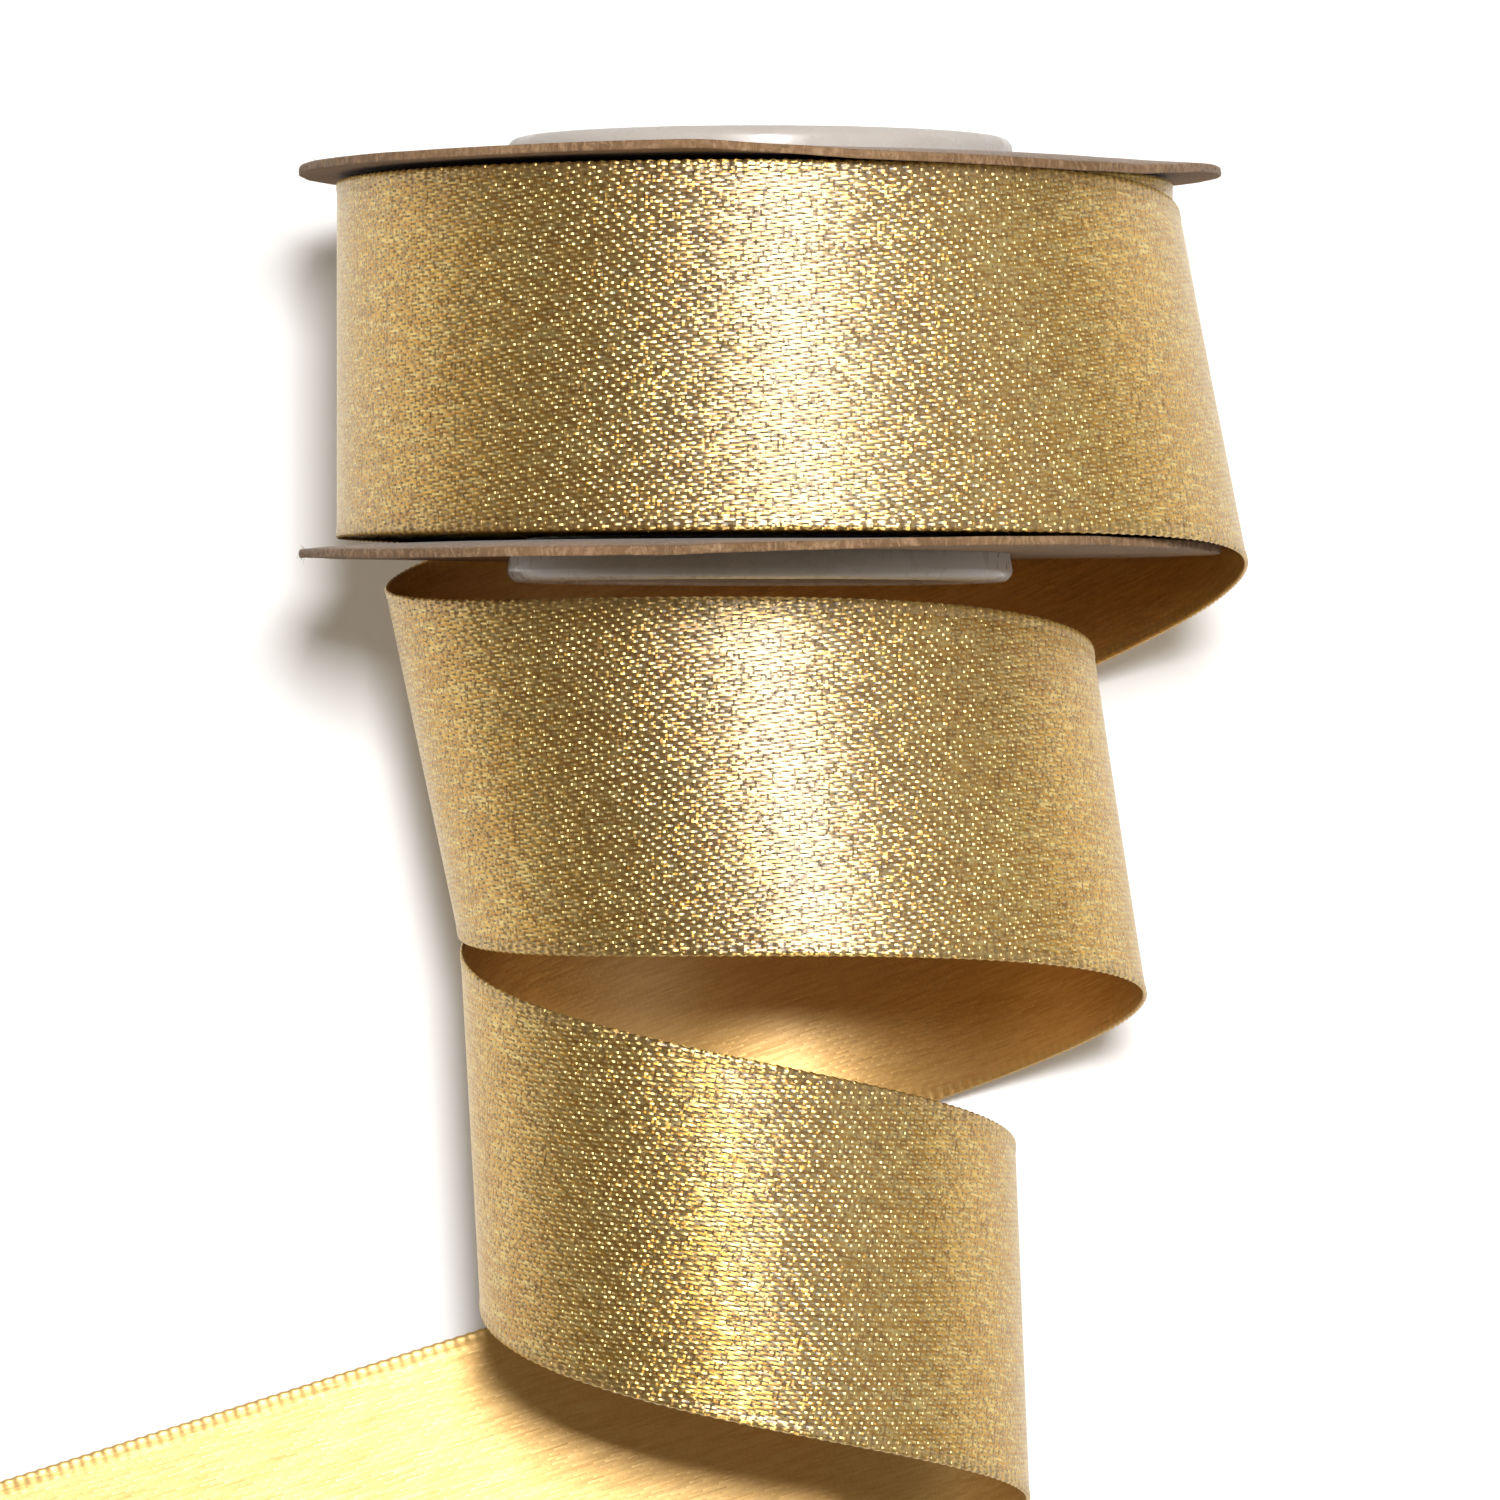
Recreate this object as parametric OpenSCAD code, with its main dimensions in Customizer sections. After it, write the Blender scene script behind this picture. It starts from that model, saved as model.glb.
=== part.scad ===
// Ribbon spool: two board flanges on a snap-together hollow core, a wound roll of 25 mm ribbon,
// and a loose end of the ribbon that leaves the roll and coils away over the table.
// Frame: origin at the middle of the core's bore, +Y along the spool's axis towards the upper
// flange, +Z up from the table, which the spool's rims and the loose ribbon stand on. Lengths in mm.

/* [Spool] */

// Outside diameter of each board flange
flange_d = 64.8; // [64.0:0.1:64.9]
// Thickness of the board
flange_t = 0.6; // [0.4:0.1:0.8]
// Clear space between the two flanges, where the ribbon is wound
winding_w = 26.0; // [25.6:0.1:26.2]

/* [Core] */

// Diameter of the bore through the middle, which drops over a dispenser pin
bore_d = 28.4; // [27.0:0.1:28.8]
// Diameter of the lip that holds each flange on
lip_d = 35.6; // [34.6:0.1:44.0]
// Height of each lip beyond its flange
lip_h = 2.0; // [1.5:0.1:3.0]
// Outside diameter of the outer sleeve, which the ribbon is wound on
sleeve_d = 33.0; // [32.8:0.1:33.1]
// Radial running fit between the inner and the outer sleeve
sleeve_fit = 0.05; // [0.03:0.01:0.10]

/* [Ribbon] */

// Width of the ribbon
ribbon_w = 25.0; // [24.0:0.1:25.2]
// Thickness of the ribbon
ribbon_t = 0.2; // [0.15:0.01:0.22]
// Outside diameter of the wound roll below the last loose turn
roll_d = 58.2; // [50.0:0.1:58.3]
// Length of the straight tail that runs off along the table
tail_len = 80; // [20:1:110]
// Width of the tape that holds the inner end of the ribbon on the core
tape_w = 18; // [10:1:24]
// Arc of the core that the tape covers, in degrees
tape_arc = 70; // [40:1:120]

/* [Quality] */

// Facets round the large circles
round_fn = 180; // [120:12:240]
// Turn of the loose ribbon between two of its cross sections, in degrees
step = 7.5; // [5:2.5:10]

/* [Hidden] */

board = [0.53, 0.42, 0.31];
milky = [0.88, 0.86, 0.83];
gold = [0.80, 0.68, 0.42];
clear = [0.86, 0.87, 0.84];

$fn = round_fn;

flange_y = winding_w / 2;
lip_y = flange_y + flange_t;
end_y = lip_y + lip_h;
hole_r = sleeve_d / 2 + 0.1;
sleeve_r = sleeve_d / 2;
socket_r = 15.3;
plug_r = socket_r - sleeve_fit;
bore_r = bore_d / 2;
lip_r = lip_d / 2;
lip_round = 0.8;
snap_y = 12.4;
snap_r = 15.5;
groove_r = 15.6;
snap_h = 0.8;
tape_t = 0.08;

// The loose ribbon's route. Each list gives one value every 60 degrees of turn, from 90 degrees
// on; before that the ribbon lies round the roll. Turn 0 is the top of the spool, 90 its +X side
// and 180 the table. A smooth curve is drawn through the values.
wrap_r = 29.7;
floor_z = -32.7;
wrap_lift = 3.0;
route_first = 90;
route_pitch = 60;
turn_r = [35.5, 31.0, 25.5, 22.0, 20.5, 21.0, 22.0, 23.0, 23.0, 22.0, 20.5, 18.0, 15.5, 12.0, 8.0];
turn_x = [-3.5, 2.0, -1.0, -2.0, -1.0, 1.5, 4.0, 4.0, 2.0, 1.0, 2.0, 2.5, 3.5, 3.0, 2.0];
turn_y = [-0.4, -11.0, -23.8, -29.4, -29.4, -29.0, -31.6, -38.8, -48.2, -55.0, -60.4, -64.6,
          -69.2, -74.0, -78.0];
turn_lean = [13, 13, 12, 12, 12, 12, 10, 1, 0, 4, 3, 2, 2, 5, 30];
turn_slope = [-14, 2, -2, -2, -5, -3, -1, -1, 1, 1, 2, 1, -2, 0, 0];
start_turn = -250;
tuck_turn = 60;
tuck = 0.25;
last_turn = 900;

// One value of a list, or its value on the roll before the list begins
function held(list, on_roll, i) = i < 0 ? on_roll : list[min(i, len(list) - 1)];

// Uniform cubic B-spline of a list at one turn
function blend4(a, b, c, d, f) =
    (a * pow(1 - f, 3) + b * (3 * pow(f, 3) - 6 * f * f + 4)
     + c * (-3 * pow(f, 3) + 3 * f * f + 3 * f + 1) + d * pow(f, 3)) / 6;
function along(list, on_roll, turn) =
    let (u = (turn - route_first) / route_pitch, i = floor(u), f = u - i)
    blend4(held(list, on_roll, i - 1), held(list, on_roll, i),
           held(list, on_roll, i + 1), held(list, on_roll, i + 2), f);

// How far the hidden first turn sinks onto the roll at its very start
function sink(turn) = tuck * pow(max(0, 1 - (turn - start_turn) / tuck_turn), 2);

// Middle of the ribbon's width, and the direction straight across it, at one turn
function middle(turn) =
    let (big = along(turn_r, wrap_r, turn), r = big - sink(turn),
         lift = along([0, 0], wrap_lift, turn))
    [along(turn_x, 0, turn) + r * sin(turn), along(turn_y, 0, turn),
     floor_z + lift + big + r * cos(turn)];
function across(turn) =
    let (a = along(turn_lean, 0, turn), b = along(turn_slope, 0, turn))
    [-sin(a) * cos(b), cos(a) * cos(b), sin(b)];

function unit(v) = v / norm(v);
function travel(turn) = unit(middle(turn + 0.1) - middle(turn - 0.1));

// The four corners of one cross section, from its middle, its direction across and its travel
function corners(p, d, t) =
    let (s = d * t, h = ribbon_w / 2 / sqrt(1 - s * s), n = unit(cross(t, d)) * ribbon_t / 2)
    [p + d * h + n, p - d * h + n, p - d * h - n, p + d * h - n];

module upper_flange() {
    color(board)
    flange(flange_y);
}

module lower_flange() {
    color(board)
    flange(-lip_y);
}

// A flat ring of board whose lower face is at y0
module flange(y0) {
    rotate([-90, 0, 0])
    translate([0, 0, y0])
    linear_extrude(flange_t)
    difference() {
        circle(d = flange_d);
        circle(r = hole_r, $fn = 120);
    }
}

// Turns a profile drawn as [radius, y] about the spool's axis
module turned() {
    rotate([-90, 0, 0])
    rotate_extrude()
    children();
}

// Half section of a lip standing on a flange, its outer edge rounded
module lip_profile() {
    translate([0, lip_y])
    union() {
        translate([bore_r, 0])
        square([lip_r - lip_round - bore_r, lip_h]);
        translate([bore_r, 0])
        square([lip_r - bore_r, lip_h - lip_round]);
        translate([lip_r - lip_round, lip_h - lip_round])
        circle(r = lip_round, $fn = 32);
    }
}

module core_socket_half() {
    color(milky)
    turned()
    difference() {
        union() {
            lip_profile();
            translate([socket_r, -lip_y + 0.05])
            square([sleeve_r - socket_r, 2 * lip_y - 0.05]);
        }
        translate([0, snap_y - snap_h])
        square([groove_r, 2 * snap_h]);
    }
}

module core_plug_half() {
    color(milky)
    turned()
    union() {
        mirror([0, 1])
        lip_profile();
        translate([bore_r, -lip_y])
        square([plug_r - bore_r, lip_y + flange_y + 0.4]);
        translate([plug_r - 0.1, snap_y - snap_h / 2])
        square([snap_r - plug_r + 0.1, snap_h]);
    }
}

module wound_ribbon() {
    color(gold)
    turned()
    translate([sleeve_r + 0.1, -ribbon_w / 2])
    square([roll_d / 2 - sleeve_r - 0.1, ribbon_w]);
}

module end_tape() {
    color(clear)
    rotate([-90, 0, 0])
    rotate_extrude(angle = tape_arc)
    translate([sleeve_r + 0.01, -tape_w / 2])
    square([tape_t, tape_w]);
}

module free_ribbon() {
    turns = [for (a = [start_turn : step : last_turn]) a];
    tail_at = middle(last_turn);
    tail_across = across(last_turn);
    tail_dir = unit([travel(last_turn)[0], travel(last_turn)[1], 0]);
    tail_end = tail_at + tail_dir * tail_len;
    sections = concat([for (a = turns) corners(middle(a), across(a), travel(a))],
                      [corners(tail_end, tail_across, tail_dir)]);
    points = [for (s = sections) for (p = s) p];
    last = len(sections) - 1;
    sides = [for (i = [0 : last - 1]) for (k = [0 : 3]) for (half = [0, 1])
        let (a = 4 * i + k, b = 4 * i + (k + 1) % 4)
        half == 0 ? [a, b, b + 4] : [a, b + 4, a + 4]];
    ends = [[0, 3, 2], [0, 2, 1],
            [4 * last, 4 * last + 1, 4 * last + 2], [4 * last, 4 * last + 2, 4 * last + 3]];
    color(gold)
    polyhedron(points = points, faces = concat(sides, ends), convexity = 10);
}

upper_flange();
lower_flange();
core_socket_half();
core_plug_half();
wound_ribbon();
end_tape();
free_ribbon();
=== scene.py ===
"""Ribbon spool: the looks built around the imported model. Lengths are in mm until mesh_object."""
import bpy
import math
import numpy as np
from types import SimpleNamespace
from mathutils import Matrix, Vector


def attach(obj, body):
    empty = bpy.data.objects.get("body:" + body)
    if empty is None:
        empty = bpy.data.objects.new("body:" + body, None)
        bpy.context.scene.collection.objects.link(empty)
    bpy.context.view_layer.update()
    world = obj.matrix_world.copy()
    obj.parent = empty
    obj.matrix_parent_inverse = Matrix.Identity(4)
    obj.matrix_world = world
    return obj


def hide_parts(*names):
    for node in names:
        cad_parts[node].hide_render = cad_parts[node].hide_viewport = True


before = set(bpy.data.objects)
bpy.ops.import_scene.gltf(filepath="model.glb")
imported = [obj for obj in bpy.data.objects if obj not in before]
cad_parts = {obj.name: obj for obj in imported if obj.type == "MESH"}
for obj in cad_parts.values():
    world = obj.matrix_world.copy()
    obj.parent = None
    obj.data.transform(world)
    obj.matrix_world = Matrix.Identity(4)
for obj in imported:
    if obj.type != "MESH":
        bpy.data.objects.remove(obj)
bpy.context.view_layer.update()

MM = 0.001
TAU = 2 * math.pi

# ---------------------------------------------------------------- camera and light

CAMERA_AT = (-0.7, -27.43, 740.0)
CAMERA_LENS = 252.0

cam_data = bpy.data.cameras.new("camera")
cam_data.lens = CAMERA_LENS
cam_data.sensor_width = 36.0
cam_data.clip_start = 0.01
cam_data.clip_end = 20.0
camera = bpy.data.objects.new("camera", cam_data)
camera.location = [c * MM for c in CAMERA_AT]
bpy.context.collection.objects.link(camera)
scene = bpy.context.scene
scene.camera = camera
scene.view_settings.view_transform = "Standard"

LIGHT_AIM = (0, -27, 0)


def soft_light(name, at, size, power):
    """A white rectangular area light, turned towards LIGHT_AIM."""
    data = bpy.data.lights.new(name, "AREA")
    data.shape = "RECTANGLE"
    data.size, data.size_y = size[0] * MM, size[1] * MM
    data.energy = power
    lamp = bpy.data.objects.new(name, data)
    lamp.location = [c * MM for c in at]
    away = lamp.location - Vector([c * MM for c in LIGHT_AIM])
    lamp.rotation_euler = away.to_track_quat("Z", "Y").to_euler()
    bpy.context.collection.objects.link(lamp)


soft_light("key_softbox", (72, 172, 1095), (175, 165), 15.5)
soft_light("right_fill", (900, 0, 600), (500, 700), 1.2)

world = bpy.data.worlds.new("studio")
scene.world = world
world.use_nodes = True
background = world.node_tree.nodes["Background"]
background.inputs["Color"].default_value = (1.0, 0.87, 0.68, 1)
background.inputs["Strength"].default_value = 0.2

# ---------------------------------------------------------------- mesh helpers


def mesh_object(name, points, faces, uv=None, materials=(), slots=None, smooth=True):
    """One object from points in mm, quads or triangles, UVs in mm at the points, and a slot for each face."""
    mesh = bpy.data.meshes.new(name)
    mesh.from_pydata((np.asarray(points, float) * MM).tolist(), [], [list(map(int, f)) for f in faces])
    for m in materials:
        mesh.materials.append(m)
    if slots is not None:
        mesh.polygons.foreach_set("material_index", np.asarray(slots, np.int32))
    if smooth:
        mesh.polygons.foreach_set("use_smooth", np.ones(len(mesh.polygons), bool))
    if uv is not None:
        corner = np.empty(len(mesh.loops), np.int32)
        mesh.loops.foreach_get("vertex_index", corner)
        layer = mesh.uv_layers.new(name="weave")
        layer.data.foreach_set("uv", np.asarray(uv, np.float32)[corner].ravel())
    mesh.update()
    obj = bpy.data.objects.new(name, mesh)
    bpy.context.collection.objects.link(obj)
    return obj


def unit(v):
    return v / np.linalg.norm(v, axis=-1, keepdims=True)


def smooth_step(a, b, x):
    t = np.clip((x - a) / (b - a), 0, 1)
    return t * t * (3 - 2 * t)


def bumps(x, count, seed):
    """Smooth random curve, the same again after a full turn of x: a sum of count sines."""
    rng = np.random.default_rng(seed)
    total = np.zeros_like(x, dtype=float)
    for k in range(1, count + 1):
        total += rng.normal() * np.sin(k * x + rng.uniform(0, TAU)) / math.sqrt(k)
    return total / 2.0


def grid_faces(rows, cols, wrap_cols=False, wrap_rows=False):
    """Quads of a rows x cols grid whose normals are (row direction) x (column direction)."""
    i = np.arange(rows if wrap_rows else rows - 1)
    j = np.arange(cols if wrap_cols else cols - 1)
    i, j = np.meshgrid(i, j, indexing="ij")
    ni, nj = (i + 1) % rows, (j + 1) % cols
    return np.stack([i * cols + j, ni * cols + j, ni * cols + nj, i * cols + nj], -1).reshape(-1, 4)


# ---------------------------------------------------------------- materials


class Graph:
    """A node tree being filled: each call adds one node and gives back its result."""

    def __init__(self, name, colour):
        self.material = bpy.data.materials.new(name)
        self.material.use_nodes = True
        self.material.diffuse_color = (*colour, 1)
        self.tree = self.material.node_tree
        self.shader = self.tree.nodes["Principled BSDF"]

    def put(self, socket, value):
        if isinstance(value, bpy.types.NodeSocket):
            self.tree.links.new(value, socket)
        else:
            socket.default_value = value

    def node(self, kind, out=0, settings=None, **inputs):
        n = self.tree.nodes.new("ShaderNode" + kind)
        for k, v in (settings or {}).items():
            setattr(n, k, v)
        for k, v in inputs.items():
            self.put(n.inputs[k], v)
        return n.outputs[out]

    def math(self, op, a, b=0.0, c=0.0):
        n = self.tree.nodes.new("ShaderNodeMath")
        n.operation = op
        for socket, value in zip(n.inputs, (a, b, c)):
            self.put(socket, value)
        return n.outputs[0]

    def vector(self, op, a, b=None, scale=None):
        n = self.tree.nodes.new("ShaderNodeVectorMath")
        n.operation = op
        self.put(n.inputs[0], a)
        if b is not None:
            self.put(n.inputs[1], b)
        if scale is not None:
            self.put(n.inputs["Scale"], scale)
        return n.outputs[0]

    def combine(self, x=0.0, y=0.0, z=0.0):
        return self.node("CombineXYZ", X=x, Y=y, Z=z)

    def split(self, v):
        n = self.tree.nodes.new("ShaderNodeSeparateXYZ")
        self.tree.links.new(v, n.inputs[0])
        return n.outputs

    def noise(self, where, scale, detail=2.0, out=0):
        return self.node("TexNoise", out=out, Vector=where, Scale=scale, Detail=detail)

    def cell_chance(self, x, y):
        """A random value and a random colour for each pair of whole numbers x, y."""
        n = self.tree.nodes.new("ShaderNodeTexWhiteNoise")
        n.noise_dimensions = "2D"
        self.put(n.inputs["Vector"], self.combine(x, y))
        return n.outputs["Value"], n.outputs["Color"]

    def mix(self, f, a, b, kind="RGBA"):
        n = self.tree.nodes.new("ShaderNodeMix")
        n.data_type = kind
        first, second, result = (6, 7, 2) if kind == "RGBA" else (2, 3, 0)
        self.put(n.inputs[0], f)
        for socket, value in ((first, a), (second, b)):
            self.put(n.inputs[socket], (*value, 1) if isinstance(value, tuple) else value)
        return n.outputs[result]

    def step(self, x, low, high, to_low=0.0, to_high=1.0):
        n = self.tree.nodes.new("ShaderNodeMapRange")
        n.interpolation_type = "SMOOTHSTEP"
        names = ("Value", "From Min", "From Max", "To Min", "To Max")
        for k, v in zip(names, (x, low, high, to_low, to_high)):
            self.put(n.inputs[k], v)
        return n.outputs[0]

    def ramp(self, x, stops):
        n = self.tree.nodes.new("ShaderNodeValToRGB")
        e = n.color_ramp.elements
        while len(e) < len(stops):
            e.new(0.5)
        for el, (pos, col) in zip(e, stops):
            el.position = pos
            el.color = (*col, 1)
        self.put(n.inputs[0], x)
        return n.outputs[0]

    def set(self, **inputs):
        for k, v in inputs.items():
            self.put(self.shader.inputs[k.replace("_", " ")], v)


def srgb(*levels):
    """Linear colour of an sRGB one given as 0-255."""
    shares = [c / 255 for c in levels]
    return tuple(c / 12.92 if c <= 0.04045 else ((c + 0.055) / 1.055) ** 2.4 for c in shares)


WEAVE_ROW = 0.14      # mm between two yarns, across the width
WEAVE_FLOAT = 2.1     # mm from one end of a float to the next, along the length
WEAVE_STEP = 0.6      # of a float that each yarn is set back from its neighbour: a five-end satin
WEAVE_WANDER = 0.34   # of a float by which a yarn's floats stray along it
FILLING_PITCH = 0.17  # mm between two filling yarns, along the length
GLINT_LENGTH = 0.42   # mm that one glint of a filling yarn is long, across the width
GLINT_SHIFT = 0.618   # of a glint by which each filling yarn's glints are off its neighbour's
GLINT_FROM = 0.6      # the chance above which a filling yarn shows
RIB_PITCH = 0.85      # mm between the ribs of the selvedge
STITCH_IN, STITCH_OUT = 11.5, 11.7    # mm from the middle of the ribbon to the row of stitches
SELVEDGE_IN = 11.7                    # mm from the middle of the ribbon to the selvedge

# The two sides. A lean is a slope against the cloth; a share, from 0 to 1, is how far a tone is mixed in. The
# dark tone where a float dips under, the amber on a yarn's flanks and the dark in the rib gaps and stitch
# pits are painted shade.
SHINY = SimpleNamespace(
    crests=(srgb(214, 160, 58), srgb(231, 184, 76), srgb(246, 220, 138)),
    flank_shade=srgb(186, 130, 44), under_shade=srgb(72, 46, 18), tip=srgb(255, 232, 160),
    float_lean=0.08, slack_lean=0.24, bow_lean=0.09, dip_lean=1.0, yarn_lean=0.12, round_lean=0.13,
    glint_share=0.5, patch_share=0.5, end_share=0.75, under_shade_share=0.9, gap_shade_share=0.24, stitch_shade_share=0.3,
    metallic=0.97, anisotropic=0.92, coat_ior=1.6)
PLAIN = SimpleNamespace(
    crests=(srgb(218, 172, 96), srgb(224, 181, 106), srgb(230, 190, 118)),
    flank_shade=srgb(204, 154, 74), under_shade=srgb(176, 126, 54), tip=srgb(236, 196, 124),
    float_lean=0.02, slack_lean=0.05, bow_lean=0.01, dip_lean=0.06, yarn_lean=0.06, round_lean=0.07,
    glint_share=0.0, patch_share=0.1, end_share=0.3, under_shade_share=0.3, gap_shade_share=0.08, stitch_shade_share=0.04,
    metallic=0.9, anisotropic=0.4, coat_ior=1.5)


def ribbon_material(name, side):
    """Lurex satin: SHINY is its face, PLAIN its back, whose yarns lie flatter."""
    g = Graph(name, srgb(206, 178, 118))
    uv = g.node("UVMap", settings={"uv_map": "weave"})
    across, along, _ = g.split(uv)
    row_at = g.math("DIVIDE", across, WEAVE_ROW)
    row = g.math("FLOOR", row_at)
    in_row = g.math("SUBTRACT", row_at, row)
    wander = g.math("MULTIPLY", g.noise(g.combine(along, row), 0.8), WEAVE_WANDER)
    float_at = g.math("ADD", g.math("DIVIDE", along, WEAVE_FLOAT), wander)
    float_at = g.math("MULTIPLY_ADD", row, WEAVE_STEP, float_at)
    cell = g.math("FLOOR", float_at)
    in_float = g.math("SUBTRACT", float_at, cell)
    chance, chances = g.cell_chance(row, cell)
    depth_chance, lean_chance, tone_chance = g.split(chances)

    # A yarn is round across, nearly flat along a float, and dips under at the float's two ends.
    y = g.math("MULTIPLY_ADD", in_row, 2.0, -1.0)
    x = g.math("MULTIPLY_ADD", in_float, 2.0, -1.0)
    far = g.math("ABSOLUTE", x)
    end = g.step(far, 0.62, 0.82)
    # under: where a float dips under its neighbour; it gets painted shade
    under = g.step(far, 0.93, 1.0)
    # flank: a yarn's rounded sides, which get a darker amber as painted shade
    flank = g.step(g.math("ABSOLUTE", y), 0.55, 1.0)
    dip = g.math("MULTIPLY", g.math("POWER", far, 4.0), g.math("SIGN", x))
    dip_depth = g.math("MULTIPLY_ADD", g.math("POWER", depth_chance, 1.3), 0.72, 0.26)
    dip_depth = g.math("MULTIPLY", dip_depth, side.dip_lean)

    # The outermost millimetre: a fine row of stitches, then ribs, with painted shade in the gaps between the
    # ribs and in the stitch pits.
    edge = g.math("ABSOLUTE", across)
    rib = g.math("SINE", g.math("MULTIPLY", along, TAU / RIB_PITCH))
    selvedge = g.step(edge, SELVEDGE_IN, SELVEDGE_IN + 0.1)
    rib_gap = g.math("MULTIPLY", selvedge, g.step(rib, -0.2, -0.75))
    stitch_row = g.math("MULTIPLY", g.step(edge, STITCH_IN, STITCH_IN + 0.08),
                        g.step(edge, STITCH_OUT + 0.08, STITCH_OUT))
    stitch = g.math("MULTIPLY", stitch_row, g.step(rib, 0.0, -0.5))

    # The filling yarns show between the floats as short upright glints, each tipped its own way.
    upright = g.math("FLOOR", g.math("DIVIDE", along, FILLING_PITCH))
    shift = g.math("FRACT", g.math("MULTIPLY", upright, GLINT_SHIFT))
    glint_at = g.math("FLOOR", g.math("ADD", g.math("DIVIDE", across, GLINT_LENGTH), shift))
    show_chance, tip_chance, warm_chance = g.split(g.cell_chance(upright, glint_at)[1])
    glint = g.math("MULTIPLY", g.math("GREATER_THAN", show_chance, GLINT_FROM), g.math("SUBTRACT", 1.0, end))
    glint = g.math("MULTIPLY", glint, side.glint_share)

    # Slopes of the surface, along and across, and the normals bent by them.
    cloth = g.combine(along, across)
    slack = g.math("SUBTRACT", g.noise(cloth, 0.9, detail=3.0), 0.5)
    spread = g.math("ADD", lean_chance, g.math("FRACT", g.math("MULTIPLY", chance, 37.0)))
    lean_along = g.math("MULTIPLY", g.math("SUBTRACT", spread, 1.0), side.float_lean)
    lean_along = g.math("MULTIPLY_ADD", slack, side.slack_lean, lean_along)
    lean_along = g.math("MULTIPLY_ADD", x, side.bow_lean, lean_along)
    lean_along = g.math("MULTIPLY_ADD", dip, dip_depth, lean_along)
    tipped = g.math("MULTIPLY_ADD", g.math("SUBTRACT", tip_chance, 0.5), 1.0, lean_along)
    lean_along = g.mix(glint, lean_along, tipped, kind="FLOAT")
    lean_across = g.math("MULTIPLY", g.math("MULTIPLY_ADD", chance, 2.0, -1.0), side.yarn_lean)
    lean_across = g.math("MULTIPLY_ADD", y, side.round_lean, lean_across)
    normal = g.node("NewGeometry", out=1)
    tangent = g.node("Tangent", settings={"direction_type": "UV_MAP", "uv_map": "weave"})
    lengthwise = g.vector("CROSS_PRODUCT", tangent, normal)
    bent = g.vector("ADD", normal, g.vector("SCALE", tangent, scale=lean_across))
    bent = g.vector("ADD", bent, g.vector("SCALE", lengthwise, scale=lean_along))
    bent = g.vector("NORMALIZE", bent)
    half_bent = g.vector("NORMALIZE", g.vector("ADD", bent, g.vector("SCALE", normal, scale=1.4)))

    patch = g.step(g.noise(cloth, 1.5, detail=4.0), 0.46, 0.66)
    glint_tone = g.mix(warm_chance, srgb(178, 118, 26), srgb(255, 204, 84))
    tone = g.ramp(tone_chance, list(zip((0.0, 0.5, 1.0), side.crests)))
    # The first layer is painted shade on the flanks of each yarn.
    layers = ((0.22, flank, side.flank_shade),
              (side.patch_share, patch, srgb(168, 112, 28)),
              (1.0, glint, glint_tone),
              (side.end_share, end, side.tip),
              # painted shade where each float dips under its neighbour
              (side.under_shade_share, under, side.under_shade),
              (0.5, selvedge, srgb(228, 192, 118)),
              # painted shade in the gaps between the selvedge ribs
              (side.gap_shade_share, rib_gap, srgb(96, 60, 22)),
              # painted shade in the pits of the stitch row
              (side.stitch_shade_share, stitch, srgb(84, 52, 18)))
    for share, weight, colour in layers:
        tone = g.mix(g.math("MULTIPLY", weight, share), tone, colour)
    if side is SHINY:
        rough = g.mix(glint, g.mix(end, 0.43, 0.48, kind="FLOAT"), 0.8, kind="FLOAT")
    else:
        rough = 0.5
    g.set(Base_Color=tone, Metallic=side.metallic, Roughness=rough, Anisotropic=side.anisotropic,
          Specular_Tint=(0.6, 0.57, 0.44, 1.0), Normal=bent, Tangent=tangent,
          Coat_Weight=1.0, Coat_Roughness=0.37, Coat_IOR=side.coat_ior, Coat_Normal=half_bent)
    return g.material


def board_material():
    g = Graph("kraft_board", srgb(150, 122, 92))
    where = g.node("TexCoord", out=3)
    cloud = g.noise(where, 120.0, detail=4.0)
    warp = g.vector("ADD", where, g.vector("SCALE", g.noise(where, 300.0, out=1), scale=0.002))
    lying = [g.noise(g.node("Mapping", Vector=warp, Scale=stretch), 1.0, detail=3.0)
             for stretch in ((5200, 900, 900), (900, 900, 5200))]
    fibre = g.math("MAXIMUM", *lying)
    fleck = g.step(g.node("TexVoronoi", Vector=where, Scale=1800.0), 0.10, 0.18, 1.0, 0.0)
    tone = g.mix(g.step(cloud, 0.35, 0.65), srgb(108, 82, 56), srgb(126, 97, 69))
    tone = g.mix(g.step(fibre, 0.45, 0.8), tone, srgb(160, 130, 100))
    tone = g.mix(g.math("MULTIPLY", fleck, 0.5), tone, srgb(74, 52, 34))
    bump = g.node("Bump", Strength=0.6, Distance=0.00008, Height=fibre)
    g.set(Base_Color=tone, Roughness=0.88, Normal=bump, Sheen_Weight=0.12, Specular_IOR_Level=0.2)
    return g.material


def core_material():
    g = Graph("milky_core", srgb(214, 208, 204))
    where = g.node("TexCoord", out=3)
    tone = g.mix(g.noise(where, 160.0, detail=3.0), srgb(172, 164, 157), srgb(186, 180, 174))
    rough = g.step(g.noise(where, 700.0), 0.3, 0.7, 0.22, 0.42)
    bump = g.node("Bump", Strength=0.35, Distance=0.0002, Height=g.noise(where, 260.0))
    g.set(Base_Color=tone, Roughness=rough, Normal=bump, Subsurface_Weight=0.35, Subsurface_Scale=0.002,
          Subsurface_Radius=(1.0, 0.85, 0.75))
    return g.material


def tape_material():
    g = Graph("clear_tape", srgb(225, 226, 220))
    where = g.node("TexCoord", out=3)
    rough = g.step(g.noise(where, 900.0), 0.3, 0.7, 0.08, 0.25)
    tone = g.mix(g.noise(where, 300.0), srgb(226, 226, 216), srgb(240, 240, 234))
    g.set(Base_Color=tone, Roughness=rough, Transmission_Weight=0.8)
    return g.material


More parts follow.
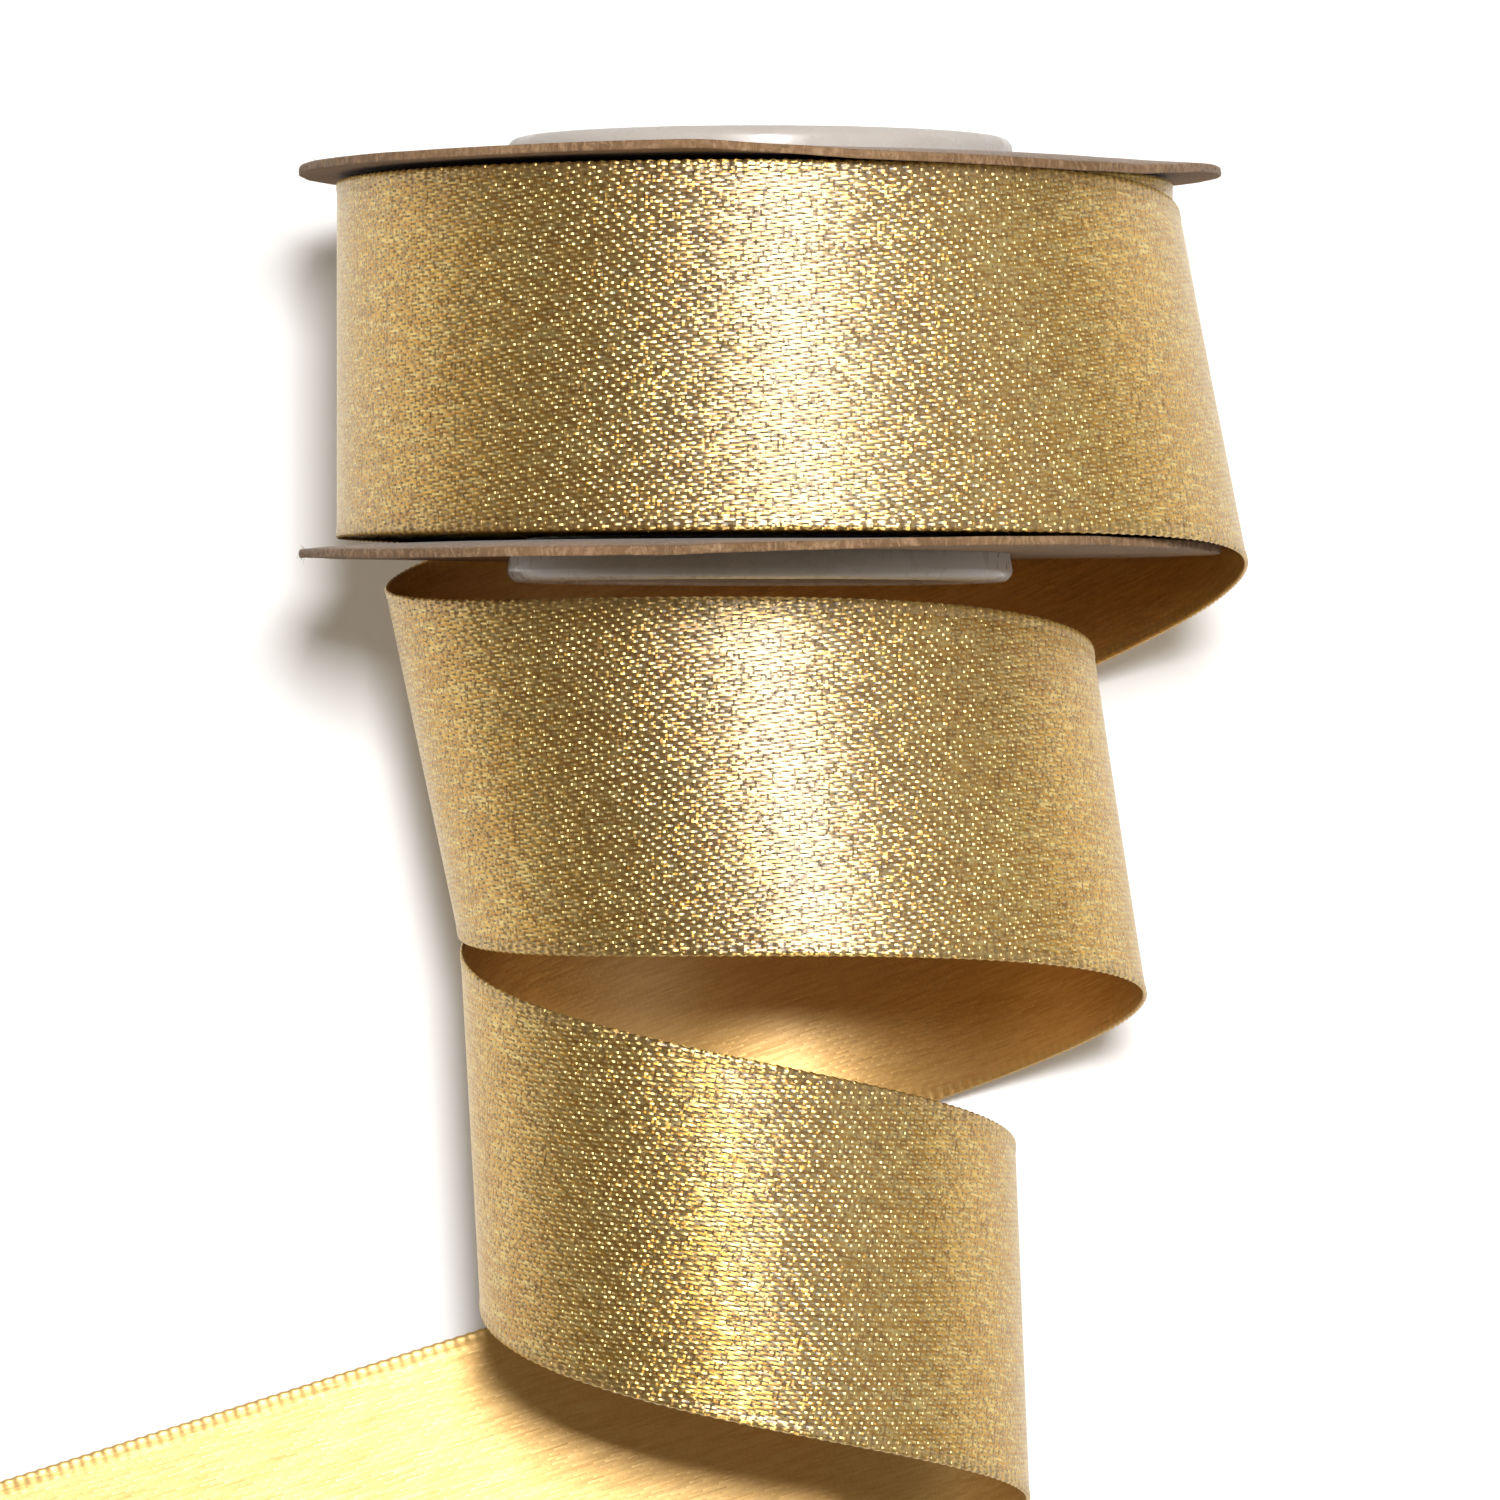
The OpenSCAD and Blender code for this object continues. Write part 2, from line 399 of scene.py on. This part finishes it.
def floor_material():
    g = Graph("pale_table", (0.9, 0.9, 0.9))
    where = g.node("TexCoord", out=3)
    tone = g.mix(g.noise(where, 3.0), (0.77, 0.77, 0.775), (0.79, 0.79, 0.79))
    g.set(Base_Color=tone, Roughness=0.6, Emission_Color=(1, 1, 1, 1), Emission_Strength=0.08)
    return g.material


RIBBON_FACE = ribbon_material("ribbon_face", SHINY)
RIBBON_BACK = ribbon_material("ribbon_back", PLAIN)
BOARD = board_material()
CORE = core_material()
TAPE = tape_material()

# ---------------------------------------------------------------- the loose ribbon's route

RIBBON_T = 0.2
WRAP_R = 29.7
FLOOR_Z = -32.7       # height of the ribbon's middle where it lies on the table
WRAP_LIFT = 3.0
ROUTE_FIRST, ROUTE_PITCH = 90, 60
TURN_R = [35.5, 31.0, 25.5, 22.0, 20.5, 21.0, 22.0, 23.0, 23.0, 22.0, 20.5, 18.0, 15.5, 12.0, 8.0]
TURN_X = [-3.5, 2.0, -1.0, -2.0, -1.0, 1.5, 4.0, 4.0, 2.0, 1.0, 2.0, 2.5, 3.5, 3.0, 2.0]
TURN_Y = [-0.4, -11.0, -23.8, -29.4, -29.4, -29.0, -31.6, -38.8, -48.2,
          -55.0, -60.4, -64.6, -69.2, -74.0, -78.0]
TURN_LEAN = [13, 13, 12, 12, 12, 12, 10, 1, 0, 4, 3, 2, 2, 5, 30]
TURN_SLOPE = [-14, 2, -2, -2, -5, -3, -1, -1, 1, 1, 2, 1, -2, 0, 0]
START_TURN, LAST_TURN = -250.0, 900.0
TUCK_TURN, TUCK = 60.0, 0.60          # degrees over which, and mm by which, the start sinks to the roll
TAIL_LEN = 80.0


def along_route(values, on_roll, turn):
    """Uniform cubic B-spline through one value every 60 degrees of turn, as in the CAD model."""
    at = (turn - ROUTE_FIRST) / ROUTE_PITCH
    i = np.floor(at).astype(int)
    f = at - i
    listed = np.array([on_roll] + list(values), float)

    def held(j):
        return listed[np.clip(j + 1, 0, len(values))]

    return (held(i - 1) * (1 - f) ** 3 + held(i) * (3 * f**3 - 6 * f * f + 4)
            + held(i + 1) * (-3 * f**3 + 3 * f * f + 3 * f + 1) + held(i + 2) * f**3) / 6


def middle(turn):
    big = along_route(TURN_R, WRAP_R, turn)
    lift = along_route([0, 0], WRAP_LIFT, turn)
    r = big - TUCK * np.clip(1 - (turn - START_TURN) / TUCK_TURN, 0, None) ** 2
    a = np.radians(turn)
    x = along_route(TURN_X, 0, turn) + r * np.sin(a)
    return np.stack([x, along_route(TURN_Y, 0, turn), FLOOR_Z + lift + big + r * np.cos(a)], -1)


def route_frames(spacing):
    """Middle point, direction across, direction of travel and length so far, every spacing mm."""
    fine = np.arange(START_TURN, LAST_TURN + 0.1, 0.25)
    pieces = np.linalg.norm(np.diff(middle(fine), axis=0), axis=1)
    so_far = np.concatenate([[0], np.cumsum(pieces)])
    turn = np.interp(np.arange(0, so_far[-1], spacing), so_far, fine)
    point = middle(turn)
    travel = unit(middle(turn + 0.1) - middle(turn - 0.1))
    lean = np.radians(along_route(TURN_LEAN, 0, turn))
    slope = np.radians(along_route(TURN_SLOPE, 0, turn))
    across = np.stack([-np.sin(lean) * np.cos(slope), np.cos(lean) * np.cos(slope), np.sin(slope)], -1)
    run = np.arange(spacing, TAIL_LEN + spacing / 2, spacing)
    tail_dir = unit(travel[-1] * [1, 1, 0])
    point = np.concatenate([point, point[-1] + tail_dir * run[:, None]])
    across = np.concatenate([across, np.repeat(across[-1:], len(run), 0)])
    travel = np.concatenate([travel, np.repeat(tail_dir[None], len(run), 0)])
    return point, across, travel, np.arange(len(point)) * spacing


# ---------------------------------------------------------------- ribbon strips


def ribbon_strip(name, points, across, along):
    """A closed strip. Each row of points runs over the ribbon's face, then back over its back."""
    rows, cols = across.shape
    caps = []
    for base, is_last in ((0, False), ((rows - 1) * cols, True)):
        for a in range(cols // 2):
            quad = [base + a, base + a + 1, base + (cols - a - 1) % cols, base + (cols - a) % cols]
            corners = list(dict.fromkeys(quad))
            caps.append(corners[::-1] if is_last else corners)
    faces = grid_faces(rows, cols, wrap_cols=True).tolist() + caps
    slots = np.tile((np.arange(cols) >= cols // 2).astype(int), rows - 1)
    slots = np.concatenate([slots, np.zeros(len(caps), int)])
    uv = np.stack([across, along], -1).reshape(-1, 2)
    return mesh_object(name, points.reshape(-1, 3), faces, uv, (RIBBON_FACE, RIBBON_BACK), slots)


HALF_COLUMNS = [0.0, 3.75, 7.5, 11.0, 11.4, 11.6, 11.8, 12.0, 12.2, 12.38, 12.5]
STITCH_MIDDLE = 11.65
START_THIN, THIN_RUN = 0.2, 9.0       # share of its thickness at the start, and mm to the full one


def free_ribbon():
    """The last wrap, the loops and the tail, with the ribs of the selvedge and the row of stitches."""
    point, across, travel, length = route_frames(RIB_PITCH / 5)
    columns = np.array([-v for v in HALF_COLUMNS[:0:-1]] + HALF_COLUMNS)
    loop_v = np.concatenate([columns, columns[-2:0:-1]])
    side = np.concatenate([np.ones(len(columns)), -np.ones(len(columns) - 2)])
    at_edge = np.abs(loop_v) > HALF_COLUMNS[-1] - 0.05
    lean = (across * travel).sum(-1)
    square = np.sqrt(1 - lean**2)
    normal = unit(np.cross(travel, across))
    v, u0 = np.meshgrid(loop_v, length)
    u = u0 + v * (lean / square)[:, None]
    rib = 0.5 + 0.5 * np.sin(TAU * u / RIB_PITCH)
    selvedge = smooth_step(SELVEDGE_IN, 12.05, np.abs(v))
    stitch = np.exp(-((np.abs(v) - STITCH_MIDDLE) / 0.12) ** 2)
    thin = smooth_step(0, THIN_RUN, u0) * (1 - START_THIN) + START_THIN
    thick = (RIBBON_T / 2 + selvedge * (0.01 + 0.045 * rib) - 0.03 * (1 - rib) * stitch) * thin
    thick = np.where(at_edge, 0.0, thick * side)
    wide = v + np.sign(v) * 0.07 * rib * smooth_step(12.1, 12.5, np.abs(v))
    body = (point[:, None] + across[:, None] * (wide / square[:, None])[..., None]
            + normal[:, None] * thick[..., None])
    return ribbon_strip("free_ribbon_strip", body, v, u), float(length[-1])


strip, strip_length = free_ribbon()
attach(strip, "ribbon")
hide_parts("free_ribbon")

ROLL_IN, ROLL_OUT = 16.62, 29.1
ROLL_PITCH, ROLL_T = 0.21, 0.19
ROLL_END = math.radians(110)          # where the outermost turn ends, under the strip's start
TURN_STEPS = 120
STRAY, STRAY_STEPS = 0.045, 60        # mm that a turn's edges are out of line, drawn every half turn


def wound_roll():
    """The inner turns as one long spiral strip, its edges a little out of line with each other."""
    turns = int((ROLL_OUT - ROLL_IN) / ROLL_PITCH) - 1
    k = np.arange(turns * TURN_STEPS + 1)
    angle = ROLL_END - TAU * (turns - k / TURN_STEPS)
    r = ROLL_OUT - ROLL_T / 2 - ROLL_PITCH * (turns - k / TURN_STEPS)
    rng = np.random.default_rng(5)
    drawn_at = np.arange(0, k[-1] + STRAY_STEPS, STRAY_STEPS)
    stray = np.interp(k, drawn_at, rng.normal(0, STRAY, len(drawn_at)))
    stray *= 1 - smooth_step(len(k) - 2.2 * TURN_STEPS, len(k) - 1.2 * TURN_STEPS, k)
    loop_v = np.array([-12.5, -12.3, -6, 0, 6, 12.3, 12.5, 12.3, 6, 0, -6, -12.3])
    side = np.array([0, 1, 1, 1, 1, 1, 0, -1, -1, -1, -1, -1]) * ROLL_T / 2
    radius = r[:, None] + side[None]
    x = radius * np.sin(angle)[:, None]
    z = radius * np.cos(angle)[:, None]
    across = np.broadcast_to(loop_v, x.shape)
    u = np.concatenate([[0], np.cumsum(0.5 * (r[1:] + r[:-1]) * TAU / TURN_STEPS)])
    points = np.stack([x, across + stray[:, None], z], -1)
    along = np.broadcast_to(u[:, None], x.shape)
    return ribbon_strip("wound_ribbon_turns", points, across, along), float(u[-1])


roll, roll_length = wound_roll()
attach(roll, "spool")
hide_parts("wound_ribbon")

# ---------------------------------------------------------------- flanges

FLANGE_R, FLANGE_HOLE = 32.4, 16.6
FLANGE_T = 0.6
FLANGE_INNER = 13.0                   # the winding-side faces, on either side of the spool's middle
BEND_FROM, BEND_POWER = 22.0, 3.6
RIM_STEPS, FACE_RINGS = 900, 30
FRAY_ROWS, FRAY = 4, 0.05
FIBRES, FIBRE_RINGS, FIBRE_SIDES = 260, 5, 3

# How far the rim is bent along Y, in mm, at some angles round the spool's axis.
UPPER_BENDS = {-180: 0.0, -90: 0.0, -30: 0.0, -8: 0.2, 13: -0.6, 27: -0.76, 42: -0.9, 55: -0.85,
               72: -0.2, 95: 0.0, 140: 0.1}
LOWER_BENDS = {-180: 0.0, -100: -0.2, -45: -0.72, -28: -0.75, -10: -0.66, 18: -0.13, 30: 0.08,
               47: 0.16, 90: 0.0, 140: 0.1}


def rim_rise(a, bends):
    """The bends read at the angles a, with their corners smoothed off."""
    keys = sorted(bends)
    key_a = np.radians([keys[-1] - 360] + keys + [keys[0] + 360])
    key_v = [bends[keys[-1]]] + [bends[k] for k in keys] + [bends[keys[0]]]
    wrapped = (a + math.pi) % TAU - math.pi
    rise = np.interp(wrapped, key_a, key_v)
    reach = 15
    kernel = np.exp(-np.linspace(-2, 2, 2 * reach + 1) ** 2)
    return np.convolve(np.concatenate([rise[-reach:], rise, rise[:reach]]), kernel / kernel.sum(), "valid")


def stray_fibres(rng, rim, inner_y, sign, start):
    """Points and faces of short curled fibres that stand out of the rim; start is the first point's index."""
    points, faces = [], []
    for _ in range(FIBRES):
        at = rng.uniform(0, TAU)
        i = int(at / TAU * RIM_STEPS)
        root_r = rim[i] - 0.05
        root_y = inner_y[i] + sign * rng.uniform(0.05, 0.55)
        root = np.array([root_r * math.sin(at), root_y, root_r * math.cos(at)])
        out = np.array([math.sin(at), 0, math.cos(at)])
        tang = np.array([math.cos(at), 0, -math.sin(at)])
        lay = rng.normal(0, 1, 3)
        heading = unit(out * rng.uniform(0.1, 0.6) + tang * lay[0] + np.array([0, lay[1] * 0.5, 0]))
        curl = rng.normal(0, 0.25, 3) + out * 0.1
        length, thin = rng.uniform(0.25, 0.75), rng.uniform(0.012, 0.022)
        for s in range(FIBRE_RINGS):
            t = s / (FIBRE_RINGS - 1)
            c = root + heading * length * t + curl * length * t * t
            for q in range(FIBRE_SIDES):
                w = TAU * q / FIBRE_SIDES
                spoke = out * math.cos(w) + np.array([0, 1, 0]) * math.sin(w)
                points.append(c + thin * (1 - 0.6 * t) * spoke)
        for s in range(FIBRE_RINGS - 1):
            b = start + s * FIBRE_SIDES
            for q in range(FIBRE_SIDES):
                nq = (q + 1) % FIBRE_SIDES
                faces.append([b + q, b + nq, b + FIBRE_SIDES + nq, b + FIBRE_SIDES + q])
        tip = start + (FIBRE_RINGS - 1) * FIBRE_SIDES
        faces.append([start, start + 2, start + 1])
        faces.append([tip, tip + 1, tip + 2])
        start += FIBRE_RINGS * FIBRE_SIDES
    return points, faces


def flange(name, sign, bends, seed):
    """A board ring with a bent rim and a frayed cut edge; sign is +1 for the upper one, -1 for the lower."""
    a = np.linspace(0, TAU, RIM_STEPS, endpoint=False)
    rise = rim_rise(a, bends)
    rng = np.random.default_rng(seed)
    rim = FLANGE_R + 0.035 * bumps(a, 60, seed) - 0.04 * np.abs(rng.normal(0, 1, RIM_STEPS))
    rise = rise + 0.03 * bumps(a, 40, seed + 1)
    radius = FLANGE_HOLE + (rim[:, None] - FLANGE_HOLE) * np.linspace(0, 1, FACE_RINGS)[None] ** 0.8
    reach = np.clip((radius - BEND_FROM) / (FLANGE_R - BEND_FROM), 0, 1) ** BEND_POWER
    y_in = sign * FLANGE_INNER + reach * rise[:, None]
    y_out = y_in + sign * FLANGE_T
    fray = rng.normal(0, FRAY, (RIM_STEPS, FRAY_ROWS))
    share = np.linspace(0, 1, FRAY_ROWS + 2)[1:-1]
    edge_r = rim[:, None] + 0.03 + fray * 0.8
    edge_y = y_in[:, -1:] + sign * FLANGE_T * (share[None] + rng.normal(0, 0.02, fray.shape))
    ring_r = np.concatenate([radius, edge_r, radius[:, ::-1]], 1)
    ring_y = np.concatenate([y_in, edge_y, y_out[:, ::-1]], 1)
    x = ring_r * np.sin(a)[:, None]
    z = ring_r * np.cos(a)[:, None]
    faces = grid_faces(RIM_STEPS, ring_r.shape[1], wrap_cols=True, wrap_rows=True)
    if sign > 0:
        faces = faces[:, ::-1]
    points = np.stack([x, ring_y, z], -1).reshape(-1, 3)
    fibre_points, fibre_faces = stray_fibres(rng, rim, y_in[:, -1], sign, len(points))
    points = np.concatenate([points, fibre_points])
    return mesh_object(name, points, faces.tolist() + fibre_faces, None, (BOARD,))


upper = flange("upper_flange_board", 1, UPPER_BENDS, 11)
lower = flange("lower_flange_board", -1, LOWER_BENDS, 23)
for piece, node in ((upper, "upper_flange"), (lower, "lower_flange")):
    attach(piece, "spool")
    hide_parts(node)

# ---------------------------------------------------------------- core and tape

BORE_R, LIP_R, LIP_LOW, LIP_HIGH = 14.2, 17.8, 13.6, 15.6
SLEEVE_R, SOCKET_R, PLUG_R = 16.5, 15.3, 15.25
SNAP_Y, GROOVE_R, BEAD_R = 12.4, 15.6, 15.5       # the snap bead and the groove that takes it
SLEEVE_END = -13.55
PLUG_TOP, PLUG_BOTTOM = 13.4, -13.5
CREASE = math.radians(35)             # the moulding's corners sharper than this stay sharp


def turned(name, profile, material, steps=300):
    """A closed profile of (radius, y) points turned about the spool's axis."""
    p = np.array(profile, float)
    a = np.linspace(0, TAU, steps, endpoint=False)
    x = np.sin(a)[:, None] * p[None, :, 0]
    z = np.cos(a)[:, None] * p[None, :, 0]
    y = np.broadcast_to(p[None, :, 1], x.shape)
    faces = grid_faces(steps, len(p), wrap_cols=True, wrap_rows=True)
    area = 0.5 * np.sum(p[:, 0] * np.roll(p[:, 1], -1) - np.roll(p[:, 0], -1) * p[:, 1])
    if area > 0:
        faces = faces[:, ::-1]
    obj = mesh_object(name, np.stack([x, y, z], -1).reshape(-1, 3), faces, None, (material,))
    obj.data.set_sharp_from_angle(angle=CREASE)
    return obj


def arc(cx, cy, r, a0, a1, n):
    angles = [math.radians(t) for t in np.linspace(a0, a1, n)]
    return [(cx + r * math.cos(t), cy + r * math.sin(t)) for t in angles]


def lip(sign):
    """The lip's outline from the bore round to the flange: rounded outside, eased at the bore."""
    pts = [(BORE_R, LIP_LOW)] + arc(BORE_R + 0.3, LIP_HIGH - 0.3, 0.3, 180, 90, 5)
    pts += [(LIP_R - 1.6, LIP_HIGH), (LIP_R - 1.45, LIP_HIGH - 0.04), (LIP_R - 1.3, LIP_HIGH)]
    pts += arc(LIP_R - 0.8, LIP_HIGH - 0.8, 0.8, 90, 0, 10)
    pts += arc(LIP_R - 0.2, LIP_LOW + 0.2, 0.2, 0, -90, 4)
    return [(r, sign * y) for r, y in pts]


socket_profile = lip(1) + [
    (SLEEVE_R + 0.12, LIP_LOW), (SLEEVE_R, LIP_LOW - 0.12),
    (SLEEVE_R, SLEEVE_END + 0.15), (SLEEVE_R - 0.15, SLEEVE_END),
    (SOCKET_R + 0.1, SLEEVE_END), (SOCKET_R, SLEEVE_END + 0.15),
    (SOCKET_R, SNAP_Y - 0.8), (GROOVE_R, SNAP_Y - 0.7), (GROOVE_R, SNAP_Y + 0.7), (SOCKET_R, SNAP_Y + 0.8),
    (SOCKET_R, LIP_LOW - 0.02), (BORE_R + 0.05, LIP_LOW - 0.02)]
plug_profile = [
    (BORE_R, PLUG_TOP - 0.2), (BORE_R + 0.15, PLUG_TOP), (PLUG_R - 0.2, PLUG_TOP), (PLUG_R, PLUG_TOP - 0.3),
    (PLUG_R, SNAP_Y + 0.5), (BEAD_R, SNAP_Y + 0.3), (BEAD_R, SNAP_Y - 0.3), (PLUG_R, SNAP_Y - 0.5),
    (PLUG_R, PLUG_BOTTOM), (LIP_R - 0.2, -LIP_LOW)]
plug_profile += lip(-1)[-5::-1]

socket = turned("core_socket_moulding", socket_profile, CORE)
plug = turned("core_plug_moulding", plug_profile, CORE)
for piece, node in ((socket, "core_socket_half"), (plug, "core_plug_half")):
    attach(piece, "spool")
    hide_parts(node)

TAPE_FROM, TAPE_TO, TAPE_HALF_W = 90, 160, 9      # degrees round the sleeve, and mm either side
TAPE_IN, TAPE_OUT = 0.015, 0.085                  # mm outside the sleeve
TOOTH_PITCH, TOOTH = 1.5, 0.25


def tape():
    """A strip of clear tape over the ribbon's inner end, its cut ends pinked."""
    a = np.radians(np.linspace(TAPE_FROM, TAPE_TO, 90))
    rows = np.linspace(-TAPE_HALF_W, TAPE_HALF_W, 49)
    aa, yy = np.meshgrid(a, rows, indexing="ij")
    teeth = TOOTH * (2 * np.abs((rows / TOOTH_PITCH) % 1 - 0.5))
    aa[0] += teeth / SLEEVE_R
    aa[-1] -= teeth / SLEEVE_R
    radii = (SLEEVE_R + TAPE_IN, SLEEVE_R + TAPE_OUT)
    skins = [np.stack([r * np.sin(aa), yy, r * np.cos(aa)], -1).reshape(-1, 3) for r in radii]
    skin = grid_faces(len(a), len(rows))
    index = np.arange(len(a) * len(rows)).reshape(len(a), len(rows))
    rim = [*index[0], *index[1:, -1], *index[-1, -2::-1], *index[-2:0:-1, 0]]
    n = index.size
    walls = [[p, q, q + n, p + n] for p, q in zip(rim, rim[1:] + rim[:1])]
    faces = skin[:, ::-1].tolist() + (skin + n).tolist() + walls
    return mesh_object("end_tape_film", np.concatenate(skins), faces, None, (TAPE,))


film = tape()
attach(film, "spool")
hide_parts("end_tape")

# ---------------------------------------------------------------- floor

TABLE_Z, TABLE_HALF = -32.93, 3000.0

corners = [(x * TABLE_HALF, y * TABLE_HALF, TABLE_Z) for x, y in ((-1, -1), (1, -1), (1, 1), (-1, 1))]
floor = mesh_object("table_top", corners, [(0, 1, 2, 3)], None, (floor_material(),), smooth=False)
